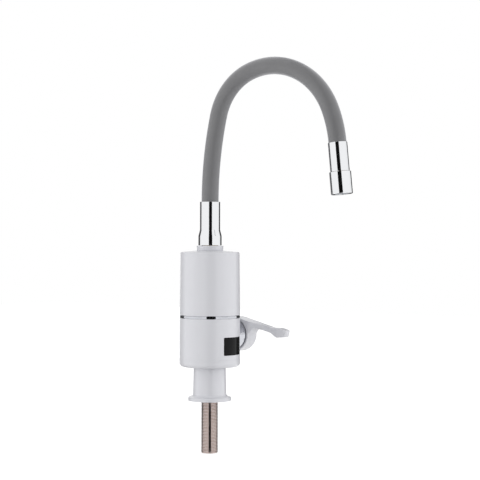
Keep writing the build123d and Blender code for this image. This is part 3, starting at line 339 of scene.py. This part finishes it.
# Bottom cover and lower housing: white ABS cup and tube, held together by three screws
# from below. The window is smoked acrylic let into the tube over the digits.
window_low, window_high = (Vector(corner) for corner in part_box("display_window"))
window_border = 0.0013


def reckon(tree, operation, *values):
    """The outcome of a sum on those values, each a number or what another node gives."""
    sum_node = tree.nodes.new("ShaderNodeMath")
    sum_node.operation = operation
    for socket, value in zip(sum_node.inputs, values):
        if isinstance(value, bpy.types.NodeSocket):
            tree.links.new(value, socket)
        else:
            socket.default_value = value
    return sum_node.outputs[0]


def smoked_acrylic():
    """Polished smoked acrylic with faint fingerprints and a black border printed behind it."""
    finish, tree, shader, place = new_finish("smoked_acrylic")
    shader.inputs["Specular IOR Level"].default_value = 0.09
    prints = grain(tree, place, per_metre=260, detail=5.0)
    spot = tree.nodes.new("ShaderNodeSeparateXYZ")
    tree.links.new(place, spot.inputs[0])
    middle = (window_low + window_high) / 2
    clear = (window_high - window_low) / 2 - Vector((1, 1, 1)) * window_border
    across = reckon(tree, "COMPARE", spot.outputs["X"], middle.x, clear.x)
    up = reckon(tree, "COMPARE", spot.outputs["Z"], middle.z, clear.z)
    inside = reckon(tree, "MULTIPLY", across, up)
    black, smoke = (0.0015, 0.0015, 0.0015), (0.008, 0.008, 0.0085)
    tint(tree, inside, shader.inputs["Base Color"], black, smoke)
    vary(tree, prints, shader.inputs["Roughness"], low=0.08, high=0.14)
    return finish


def drawn_steel():
    """Stainless sheet and wire, drawn, with fine lines along the draw."""
    finish, tree, shader, place = new_finish("drawn_steel")
    shader.inputs["Metallic"].default_value = 1.0
    draw_lines = grain(tree, place, per_metre=500, stretch=(1, 1, 0.1))
    dark, light = (0.60, 0.60, 0.60), (0.72, 0.72, 0.71)
    tint(tree, draw_lines, shader.inputs["Base Color"], dark, light)
    vary(tree, draw_lines, shader.inputs["Roughness"], low=0.24, high=0.36)
    return finish


smoked = smoked_acrylic()
steel = drawn_steel()
dress(white, "white_shell", "bottom_cover", "lower_housing")
dress(smoked, "smoked_window", "display_window")
dress(steel, "stainless", "cover_screws")

# Display electronics: a black digit module on a green glass-epoxy board, hidden behind
# the window, with a flat ribbon cable round to the control board.


def glass_epoxy():
    """Green lacquered circuit board with the weave of its glass cloth just showing."""
    finish, tree, shader, place = new_finish("glass_epoxy")
    shader.inputs["Coat Weight"].default_value = 0.4
    weave = grain(tree, place, per_metre=1500, stretch=(1, 0.2, 1))
    dark, light = (0.012, 0.085, 0.032), (0.02, 0.12, 0.05)
    tint(tree, weave, shader.inputs["Base Color"], dark, light)
    vary(tree, weave, shader.inputs["Roughness"], low=0.35, high=0.5)
    return finish


def moulded_plastic(name, dark, light, rough=0.45, rough_spread=0.12):
    """Plain moulded plastic with a fine spark-eroded texture."""
    finish, tree, shader, place = new_finish(name)
    spark = grain(tree, place, per_metre=1200)
    tint(tree, spark, shader.inputs["Base Color"], dark, light)
    vary(tree, spark, shader.inputs["Roughness"], low=rough, high=rough + rough_spread)
    relief(tree, spark, shader, depth=0.000015)
    return finish


board_green = glass_epoxy()
black_plastic = moulded_plastic("black_plastic", (0.016, 0.016, 0.017), (0.03, 0.03, 0.03))
ribbon_grey = moulded_plastic("ribbon_grey", (0.30, 0.30, 0.31), (0.36, 0.36, 0.37))
dress(board_green, "circuit_board", "display_board", "control_board")
dress(black_plastic, "black_plastic", "display_module")
dress(ribbon_grey, "ribbon_grey", "ribbon_cable")

# Trim ring: a bright chrome-plated band clamped between the two housings, standing a hair
# proud of them, with a plain spigot into each.
trim_low, trim_high = (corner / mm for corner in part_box("trim_ring"))
trim_spigot = 4.0
spigot_radius = 35.4
spigot_wall = 1.6
shadow_groove = 0.35
groove_radius = 36.9


def chrome_plate():
    """Bright decorative chrome, almost a mirror, with the faintest haze from wiping."""
    finish, tree, shader, place = new_finish("chrome_plate")
    shader.inputs["Metallic"].default_value = 1.0
    shader.inputs["Base Color"].default_value = (0.86, 0.87, 0.885, 1)
    shader.inputs["Specular Tint"].default_value = (0.35, 0.35, 0.36, 1)
    haze = grain(tree, place, per_metre=90, detail=6.0)
    vary(tree, haze, shader.inputs["Roughness"], low=0.035, high=0.075)
    return finish


def chrome_painted_dimmer():
    """The trim ring's and bonnet's chrome: brushed grain, with a base colour greyer than the
    plate's as painted shade for the dimmer surroundings these parts mirror.
    """
    finish, tree, shader, place = new_finish("chrome_painted_dimmer")
    shader.inputs["Metallic"].default_value = 1.0
    brush = grain(tree, place, per_metre=160, stretch=(1, 1, 9))
    # Base colour painted greyer than the plate's: painted shade for the dimmer surroundings the
    # ring and bonnet mirror.
    dark, light = (0.50, 0.51, 0.545), (0.60, 0.61, 0.65)
    tint(tree, brush, shader.inputs["Base Color"], dark, light)
    vary(tree, brush, shader.inputs["Roughness"], low=0.03, high=0.07)
    return finish


chrome = chrome_plate()
trim_band = turned(
    "trim_band",
    [
        (spigot_radius - spigot_wall, trim_low.z, 0.2),
        (spigot_radius, trim_low.z, 0.2),
        (spigot_radius, trim_low.z + trim_spigot, 0.05),
        (groove_radius, trim_low.z + trim_spigot, 0.05),
        (groove_radius, trim_low.z + trim_spigot + shadow_groove, 0.05),
        (trim_high.x, trim_low.z + trim_spigot + shadow_groove, 0.5),
        (trim_high.x, trim_high.z - trim_spigot - shadow_groove, 0.5),
        (groove_radius, trim_high.z - trim_spigot - shadow_groove, 0.05),
        (groove_radius, trim_high.z - trim_spigot, 0.05),
        (spigot_radius, trim_high.z - trim_spigot, 0.05),
        (spigot_radius, trim_high.z, 0.2),
        (spigot_radius - spigot_wall, trim_high.z, 0.2),
    ],
    columns=160,
)
# Chrome for the ring and bonnet, its base colour painted darker as painted shade.
dimmed_chrome = chrome_painted_dimmer()
trim_band.data.materials.append(dimmed_chrome)
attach(trim_band, "tap_body")
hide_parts("trim_ring")

# Upper housing: a white ABS cup with a slight draft, a soft shoulder and a low cone for a
# top, through which the swivel stub comes up to be clamped by the collar nut.
upper_low, upper_high = (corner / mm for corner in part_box("upper_housing"))
upper_wall = 2.25
shoulder_radius = 36.9
shoulder_drop = 2.1
crown_radius = 16.5
stub_thread_radius = 10.2
upper_cup = turned(
    "upper_cup",
    [
        (upper_high.x, upper_low.z, 0.35),
        (shoulder_radius, upper_high.z - shoulder_drop, 1.6),
        (crown_radius, upper_high.z, 0.4),
        (stub_thread_radius, upper_high.z, 0.2),
        (stub_thread_radius, upper_high.z - upper_wall, 0.2),
        (crown_radius, upper_high.z - upper_wall, 0.4),
        (shoulder_radius - upper_wall, upper_high.z - shoulder_drop - upper_wall, 1.0),
        (upper_high.x - upper_wall, upper_low.z, 0.3),
    ],
    columns=160,
)
upper_cup.data.materials.append(white)
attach(upper_cup, "tap_body")
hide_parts("upper_housing")

# Collar nut: a low white ABS ring with a thread inside. It screws down on the swivel stub
# and clamps the crown of the upper housing.
collar_low, collar_high = (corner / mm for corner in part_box("collar_nut"))
collar_foot = 16.3
collar_clearance = 0.1
collar_ring = turned(
    "collar_ring",
    [
        (stub_thread_radius + collar_clearance, collar_low.z, 0.2),
        (collar_foot, collar_low.z, 0.3),
        (collar_high.x, collar_high.z, 0.7),
        (stub_thread_radius + collar_clearance, collar_high.z, 0.4),
    ],
)
collar_ring.data.materials.append(white)
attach(collar_ring, "tap_body")
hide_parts("collar_nut")

# Swivel: a turned brass stub with two rubber seals and a steel clip, on which the brass
# socket of the spout turns. Only a thin line of it shows above the collar nut.
dress(brass, "brass", "swivel_stub", "spout_socket")
dress(rubber, "black_rubber", "swivel_seals")
dress(steel, "stainless", "swivel_clip")

# Lower ferrule: a chrome-plated brass tube, wide over the swivel and drawn in with a soft
# waist to grip the foot of the hose. It turns with the spout.
ferrule_low, ferrule_high = (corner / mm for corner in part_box("lower_ferrule"))
ferrule_foot_height = 11.9
ferrule_taper = 7.5
ferrule_radius = 12.6
socket_bore = 11.5
hose_radius = 10.65
hose_clearance = 0.1
hose_seat_depth = 20.0
hose_seat_chamfer = 1.0
waist_curve = 7.0
foot_ferrule = turned(
    "foot_ferrule",
    [
        (socket_bore, ferrule_low.z, 0.3),
        (ferrule_high.x, ferrule_low.z, 0.4),
        (ferrule_high.x, ferrule_low.z + ferrule_foot_height, waist_curve),
        (ferrule_radius, ferrule_low.z + ferrule_foot_height + ferrule_taper, waist_curve),
        (ferrule_radius, ferrule_high.z, 0.35),
        (hose_radius + hose_clearance, ferrule_high.z, 0.25),
        (hose_radius + hose_clearance, ferrule_high.z - hose_seat_depth, 0.2),
        (socket_bore, ferrule_high.z - hose_seat_depth - hose_seat_chamfer, 0.2),
    ],
)
foot_ferrule.data.materials.append(chrome)
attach(foot_ferrule, "spout")
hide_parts("lower_ferrule")

# Gooseneck: a smooth grey silicone sleeve over a springy tube that carries the water, in
# one easy arch from the lower ferrule to the outlet. It bends by hand and stays put.
hose_tail = 11.0
hose_arcs = ((456.0, 13.6), (72.7, 55.5), (91.7, 88.4), (144.0, 16.6))
hose_bore = 6.6
tube_radius = 6.5
tube_bore = 5.4
ring_spacing = 2.0
hose_columns = 48


def hose_line():
    """Points up the middle of the hose with the way it runs there, in the spout's plane.

    It goes straight in each ferrule and round four arcs that follow on smoothly, each given
    as its radius and its sweep in degrees."""
    at = Vector((0, ferrule_high.z - hose_tail))
    way = Vector((0, 1))
    line = [(at.copy(), way.copy())]
    at = at + way * hose_tail
    line.append((at.copy(), way.copy()))
    for arc_radius, arc_angle in hose_arcs:
        sweep = math.radians(arc_angle)
        centre = at + Vector((way.y, -way.x)) * arc_radius
        steps = math.ceil(arc_radius * sweep / ring_spacing)
        spoke, first_way = at - centre, way
        for step in range(1, steps + 1):
            swing = Matrix.Rotation(-sweep * step / steps, 2)
            at, way = centre + swing @ spoke, swing @ first_way
            line.append((at.copy(), way.copy()))
    line.append((at + way * hose_tail, way.copy()))
    return line


def hose_layer(name, outer, inner):
    """One round layer of the hose along its line, open through its bore."""
    line = hose_line()
    points, normals, faces = [], [], []
    layers = [(outer, 1), (inner, -1)]
    for radius, facing in layers:
        for at, way in line:
            out = Vector((0, -way.y, -way.x))
            for column in range(hose_columns):
                angle = 2 * math.pi * column / hose_columns
                across = Vector((math.cos(angle), 0, 0)) + out * math.sin(angle)
                points.append((Vector((0, -at.x, at.y)) + across * radius) * mm)
                normals.append(across * facing)
    rows = len(line)
    for layer, (_, facing) in enumerate(layers):
        for row in range(rows - 1):
            for column in range(hose_columns):
                here = (layer * rows + row) * hose_columns
                beside = (column + 1) % hose_columns
                over = here + hose_columns
                loop = [here + column, here + beside, over + beside, over + column]
                faces.append(loop if facing < 0 else loop[::-1])
    for row in (0, rows - 1):
        for column in range(hose_columns):
            beside = (column + 1) % hose_columns
            outside = row * hose_columns
            inside = (rows + row) * hose_columns
            loop = [outside + column, outside + beside, inside + beside, inside + column]
            faces.append(loop if row else loop[::-1])
    return piece_of(name, points, faces, normals)


def grey_silicone():
    """Matte mid-grey silicone rubber, silky at a glancing angle, with a fine moulded grain."""
    finish, tree, shader, place = new_finish("grey_silicone")
    shader.inputs["Specular IOR Level"].default_value = 0.5
    shader.inputs["Sheen Weight"].default_value = 0.9
    shader.inputs["Sheen Roughness"].default_value = 0.45
    shader.inputs["Sheen Tint"].default_value = (0.95, 0.95, 1.0, 1)
    cloud = grain(tree, place, per_metre=60, detail=4.0)
    dark, light = (0.152, 0.152, 0.157), (0.174, 0.174, 0.179)
    tint(tree, cloud, shader.inputs["Base Color"], dark, light)
    skin = grain(tree, place, per_metre=1800)
    vary(tree, skin, shader.inputs["Roughness"], low=0.40, high=0.48)
    relief(tree, skin, shader, depth=0.00001)
    return finish


hose = hose_layer("silicone_sleeve", hose_radius, hose_bore)
hose.data.materials.append(grey_silicone())
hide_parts("hose_sleeve")
water_tube = hose_layer("inner_hose", tube_radius, tube_bore)
water_tube.data.materials.append(
    moulded_plastic("clear_silicone", (0.55, 0.52, 0.45), (0.62, 0.6, 0.54))
)
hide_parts("water_tube")
# Both hose layers get their placing baked into their points.
for piece in (hose, water_tube):
    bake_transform(piece)

# Outlet: a slim chrome ferrule over the end of the hose and its brass nipple, then the
# aerator's wider chrome shell screwed on below a clear seam.
outlet_seat, outlet_way = hose_line()[-2]
outlet_origin = Vector((0, -outlet_seat.x, outlet_seat.y)) * mm
outlet_down = Vector((0, -outlet_way.x, outlet_way.y))
outlet_radius = 11.45
outlet_length = 34.3
nipple_body_radius = 10.3
aerator_start = 34.6
aerator_end = 60.9
aerator_radius = 12.9
aerator_bore = 10.6
aerator_lip = 3.4
aerator_mouth = 9.2
outlet_tube = turned(
    "outlet_tube",
    [
        (hose_radius + hose_clearance, 0, 0.2),
        (outlet_radius, 0, 0.35),
        (outlet_radius, outlet_length, 0.35),
        (nipple_body_radius + hose_clearance, outlet_length, 0.2),
        (nipple_body_radius + hose_clearance, hose_tail, 0.1),
        (hose_radius + hose_clearance, hose_tail, 0.1),
    ],
    origin=outlet_origin,
    direction=outlet_down,
)
aerator_cup = turned(
    "aerator_cup",
    [
        (aerator_bore, aerator_start, 0.2),
        (aerator_radius, aerator_start, 0.5),
        (aerator_radius, aerator_end, 0.6),
        (aerator_mouth, aerator_end, 0.4),
        (aerator_mouth, aerator_end - aerator_lip, 0.2),
        (aerator_bore, aerator_end - aerator_lip, 0.1),
    ],
    origin=outlet_origin,
    direction=outlet_down,
)
for piece in (outlet_tube, aerator_cup):
    piece.data.materials.append(chrome)
    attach(piece, "outlet")
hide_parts("outlet_ferrule")
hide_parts("aerator_shell")
dress(brass, "brass", "outlet_nipple")
dress(rubber, "black_rubber", "aerator_washer")
pale_grille = moulded_plastic("pale_grille", (0.62, 0.64, 0.66), (0.70, 0.72, 0.74))
dress(pale_grille, "clear_grille", "aerator_insert")

# Side valve: a cast brass body, ceramic cartridge and stem inside the heater body. What
# shows is the chrome bonnet, a round dome whose skirt is cut to sit on the round housing.
housing_radius = (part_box("lower_housing")[1] / mm).x
bonnet_low, bonnet_high = (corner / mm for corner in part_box("bonnet"))
valve_z = (bonnet_low.z + bonnet_high.z) / 2
bonnet_radius = bonnet_high.y
bonnet_columns = 120
saddle_clearance = 0.1
saddle_radius = housing_radius + saddle_clearance
skirt_length = 4.2
skirt_end = housing_radius + skirt_length
shoulder_steps = ((0, 0), (3.2, 0.04), (6.2, 0.14), (7.6, 0.35), (8.3, 0.75), (8.6, 1.4))
dome_stations = ((51.6, 18.6), (53.6, 17.5), (55.2, 16.0), (56.5, 14.0), (57.2, 12.2))
bonnet_nose = 57.5
bonnet_nose_radius = 11.2
bonnet_mouth = 7.5
bonnet_wall = 1.6
bonnet_inside = ((bonnet_nose - bonnet_wall, 11.0), (51.0, 17.0))


def bonnet_section():
    """Distance out and radius at each station, from the end of the skirt round to the inside.

    A shoulder step is how far past the skirt it lies and how much the radius has drawn in."""
    stations = [(skirt_end + past, bonnet_radius - inward) for past, inward in shoulder_steps]
    stations += dome_stations
    stations += [
        (bonnet_nose, bonnet_nose_radius),
        (bonnet_nose, bonnet_mouth),
        (bonnet_nose - bonnet_wall, bonnet_mouth),
    ]
    stations += bonnet_inside
    return stations


def bonnet_dome():
    """The dome about the valve's axis, its foot laid on the round of the housing."""
    points, faces = [], []
    stations = bonnet_section()
    rows = len(stations) + 1
    for column in range(bonnet_columns):
        angle = 2 * math.pi * column / bonnet_columns
        side, up = math.cos(angle), math.sin(angle)
        foot = math.sqrt(saddle_radius**2 - (bonnet_radius * side) ** 2)
        for x, radius in [(foot, bonnet_radius)] + stations:
            points.append((x * mm, radius * side * mm, (valve_z + radius * up) * mm))
    for column in range(bonnet_columns):
        beside = (column + 1) % bonnet_columns
        for row in range(rows - 1):
            here, there = column * rows + row, beside * rows + row
            faces.append((here, there, there + 1, here + 1))
    return piece_of("bonnet_dome", points, faces)


bonnet = bonnet_dome()
# The bonnet takes the same chrome, with painted shade in its base colour.
bonnet.data.materials.append(dimmed_chrome)
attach(bonnet, "tap_body")
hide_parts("bonnet")
dress(brass, "brass", "valve_body", "cartridge_body", "cartridge_stem")
dress(rubber, "black_rubber", "seat_ring")
alumina = moulded_plastic("alumina", (0.72, 0.70, 0.66), (0.80, 0.78, 0.74), rough=0.2)
dress(alumina, "ceramic", "fixed_disc", "moving_disc")

# Lever: one white ABS moulding, a hollow round hub with an arm off its rim that ends in a
# thumb paddle. A screw through the hub holds it on the stem, under a press-in plug.
lever_voxel = 0.00045
lever_smoothing = 10
weld_reach = 0.000005
smoothing_strength = 0.5


def softened(name, node_name, voxel, repeats):
    """A copy of a CAD piece with its edges rounded over, as a moulding's are."""
    mesh = nodes[node_name].data.copy()
    mesh.name = name
    piece = bpy.data.objects.new(name, mesh)
    bpy.context.scene.collection.objects.link(piece)
    weld = piece.modifiers.new("weld", "WELD")
    weld.merge_threshold = weld_reach
    remesh = piece.modifiers.new("remesh", "REMESH")
    remesh.mode = "VOXEL"
    remesh.voxel_size = voxel
    remesh.use_smooth_shade = True
    smooth = piece.modifiers.new("smooth", "SMOOTH")
    smooth.factor = smoothing_strength
    smooth.iterations = repeats
    solid = piece.evaluated_get(bpy.context.evaluated_depsgraph_get())
    piece.data = bpy.data.meshes.new_from_object(solid)
    piece.modifiers.clear()
    piece.data.shade_smooth()
    return piece


lever = softened("lever_moulding", "lever_handle", lever_voxel, lever_smoothing)
lever.data.materials.clear()
lever.data.materials.append(white)
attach(lever, "lever")
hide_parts("lever_handle")
dress(white, "white_shell", "handle_plug")
dress(steel, "stainless", "handle_screw")

# Flow switch: a natural acetal tube on the valve's outlet, a bonded magnet that the water
# lifts in it, and a black reed switch on its side.
acetal = moulded_plastic("acetal", (0.70, 0.69, 0.64), (0.78, 0.77, 0.72))
bonded_magnet = moulded_plastic("bonded_magnet", (0.045, 0.045, 0.05), (0.07, 0.07, 0.075))
dress(acetal, "switch_acetal", "flow_switch_housing", "terminal_block")
dress(bonded_magnet, "magnet_grey", "flow_piston")
dress(black_plastic, "black_plastic", "reed_switch")

# Heating tank: a drawn stainless cup and lid with a sheathed hairpin element, a steel
# temperature probe and a clip-on thermal cut-out.


def heat_tinted_steel():
    """Element sheath browned by heat, with straw and blue in the brown."""
    finish, tree, shader, place = new_finish("heat_tinted_steel")
    shader.inputs["Metallic"].default_value = 1.0
    bands = grain(tree, place, per_metre=70)
    dark, light = (0.26, 0.20, 0.15), (0.36, 0.34, 0.36)
    tint(tree, bands, shader.inputs["Base Color"], dark, light)
    vary(tree, bands, shader.inputs["Roughness"], low=0.35, high=0.5)
    return finish


dress(steel, "stainless", "tank_shell", "tank_lid", "temperature_probe")
dress(heat_tinted_steel(), "element_sheath", "heating_element")
dress(black_plastic, "black_plastic", "thermal_cutout", "power_module")

# Power electronics: the relay and the power module on the control board, and the silicone
# insulated wires from the terminal block and to the element.
relay_blue = moulded_plastic("relay_blue", (0.012, 0.045, 0.20), (0.02, 0.06, 0.26), rough=0.3)
wire_brown = moulded_plastic("wire_brown", (0.22, 0.09, 0.035), (0.28, 0.12, 0.05))
dress(relay_blue, "relay_blue", "power_relay")
dress(wire_brown, "wire_insulation", "supply_wires", "heater_leads")

# Studio: a pale floor under the end of the shank, a plain white surround that dims overhead
# and a soft lamp to each side. Dark cards lie on the floor between two angles from the
# camera and bend upright at a distance: chrome mirrors them as its black lines.
floor_size = 6.0
floor_level = shank_low.z * mm
floor_tone = 0.79
floor_lift = 0.52
horizon_light = 1.05
overhead_light = 0.68
lamp_power = 9.0
lamp_size = 1.2
lamp_distance = 1.6
lamp_rise = 0.1
lamp_swing = math.radians(80)
card_lift = 0.001
left_edge = dict(start=-152, end=-114, nearest=0.08, distance=1.7, height=0.95, shade=0.09)
right_edge = dict(start=123, end=172, nearest=0.42, distance=1.7, height=0.95, shade=0.07)
stripe = dict(start=-11, end=23.5, nearest=0.013, distance=0.53, height=1.85, shade=0.004)


def seen_directly(tree):
    """One for camera, mirror and glass rays, nothing for the rays that only carry light."""
    paths = tree.nodes.new("ShaderNodeLightPath").outputs
    straight = reckon(tree, "MAXIMUM", paths["Is Camera Ray"], paths["Is Glossy Ray"])
    return reckon(tree, "MAXIMUM", straight, paths["Is Transmission Ray"])


def white_surround():
    """World: white where it is seen or mirrored, and as light dimmer the higher it is."""
    world = bpy.data.worlds.new("surround")
    world.use_nodes = True
    tree = world.node_tree
    sky_way = tree.nodes.new("ShaderNodeSeparateXYZ")
    tree.links.new(tree.nodes.new("ShaderNodeTexCoord").outputs["Generated"], sky_way.inputs[0])
    shed = tree.nodes.new("ShaderNodeMapRange")
    shed.interpolation_type = "SMOOTHSTEP"
    shed.inputs["To Min"].default_value = horizon_light
    shed.inputs["To Max"].default_value = overhead_light
    tree.links.new(sky_way.outputs["Z"], shed.inputs["Value"])
    level = tree.nodes.new("ShaderNodeMix")
    level.inputs["B"].default_value = 1.0
    tree.links.new(seen_directly(tree), level.inputs["Factor"])
    tree.links.new(shed.outputs["Result"], level.inputs["A"])
    background = tree.nodes["Background"]
    background.inputs["Color"].default_value = (1, 1, 1, 1)
    tree.links.new(level.outputs["Result"], background.inputs["Strength"])
    bpy.context.scene.world = world


def pale_floor():
    """Floor that is white from above but for the tap's shade, and clear from below."""
    finish, tree, shader, place = new_finish("pale_floor")
    shader.inputs["Base Color"].default_value = (floor_tone, floor_tone, floor_tone, 1)
    shader.inputs["Roughness"].default_value = 0.9
    shader.inputs["Specular IOR Level"].default_value = 0.0
    shader.inputs["Emission Color"].default_value = (1, 1, 1, 1)
    lift = reckon(tree, "MULTIPLY", seen_directly(tree), floor_lift)
    tree.links.new(lift, shader.inputs["Emission Strength"])
    underneath = tree.nodes.new("ShaderNodeNewGeometry").outputs["Backfacing"]
    nothing = tree.nodes.new("ShaderNodeBsdfTransparent")
    one_way = tree.nodes.new("ShaderNodeMixShader")
    tree.links.new(underneath, one_way.inputs[0])
    tree.links.new(shader.outputs[0], one_way.inputs[1])
    tree.links.new(nothing.outputs[0], one_way.inputs[2])
    tree.links.new(one_way.outputs[0], tree.nodes["Material Output"].inputs["Surface"])
    return finish


def card(name, corners, shade):
    """A flat card that only mirror-like surfaces see."""
    board = piece_of(name, corners, [(0, 1, 2, 3)])
    finish = bpy.data.materials.new(name)
    finish.use_nodes = True
    tree = finish.node_tree
    glow = tree.nodes.new("ShaderNodeEmission")
    glow.inputs["Color"].default_value = (shade, shade, shade, 1)
    tree.links.new(glow.outputs[0], tree.nodes["Material Output"].inputs["Surface"])
    board.data.materials.append(finish)
    board.visible_camera = False
    board.visible_diffuse = False
    board.visible_shadow = False
    board.visible_transmission = False


def bent_card(name, start, end, nearest, distance, height, shade):
    """A card along the floor and one upright at its far end. Gives the upright's top edge."""
    floor_height = Vector((0, 0, floor_level + card_lift))
    spokes = [
        Matrix.Rotation(math.radians(angle), 3, "Z") @ to_camera for angle in (start, end)
    ]
    foot = [spoke * distance + floor_height for spoke in spokes]
    head = [point + Vector((0, 0, height)) for point in foot]
    near = [spoke * nearest + floor_height for spoke in spokes]
    card(name + "_upright", foot + head[::-1], shade)
    card(name + "_on_floor", near + foot[::-1], shade)
    return head


def soft_lamp(name, swing, height, power):
    """A square soft box aimed at the middle of the tap."""
    around = Matrix.Rotation(swing, 3, "Z") @ to_camera
    place = around * lamp_distance + Vector((0, 0, height))
    lamp = bpy.data.objects.new(name, bpy.data.lights.new(name, "AREA"))
    lamp.data.energy = power
    lamp.data.size = lamp_size
    lamp.location = place
    aim = Vector((0, 0, view_height)) - place
    lamp.rotation_euler = aim.to_track_quat("-Z", "Y").to_euler()
    lamp.visible_glossy = False
    bpy.context.scene.collection.objects.link(lamp)


white_surround()
floor = piece_of(
    "floor",
    [
        Vector((sx * floor_size / 2, sy * floor_size / 2, floor_level))
        for sx, sy in ((-1, -1), (1, -1), (1, 1), (-1, 1))
    ],
    [(0, 1, 2, 3)],
)
floor.data.materials.append(pale_floor())
bent_card("left_edge", **left_edge)
bent_card("right_edge", **right_edge)
stripe_head = bent_card("stripe", **stripe)
stripe_back = [point - to_camera * stripe["height"] for point in stripe_head]
card("stripe_overhead", stripe_head + stripe_back[::-1], stripe["shade"])
soft_lamp("left_lamp", -lamp_swing, lamp_rise, lamp_power)
soft_lamp("right_lamp", lamp_swing, lamp_rise, lamp_power)
bpy.context.scene.view_settings.view_transform = "Standard"
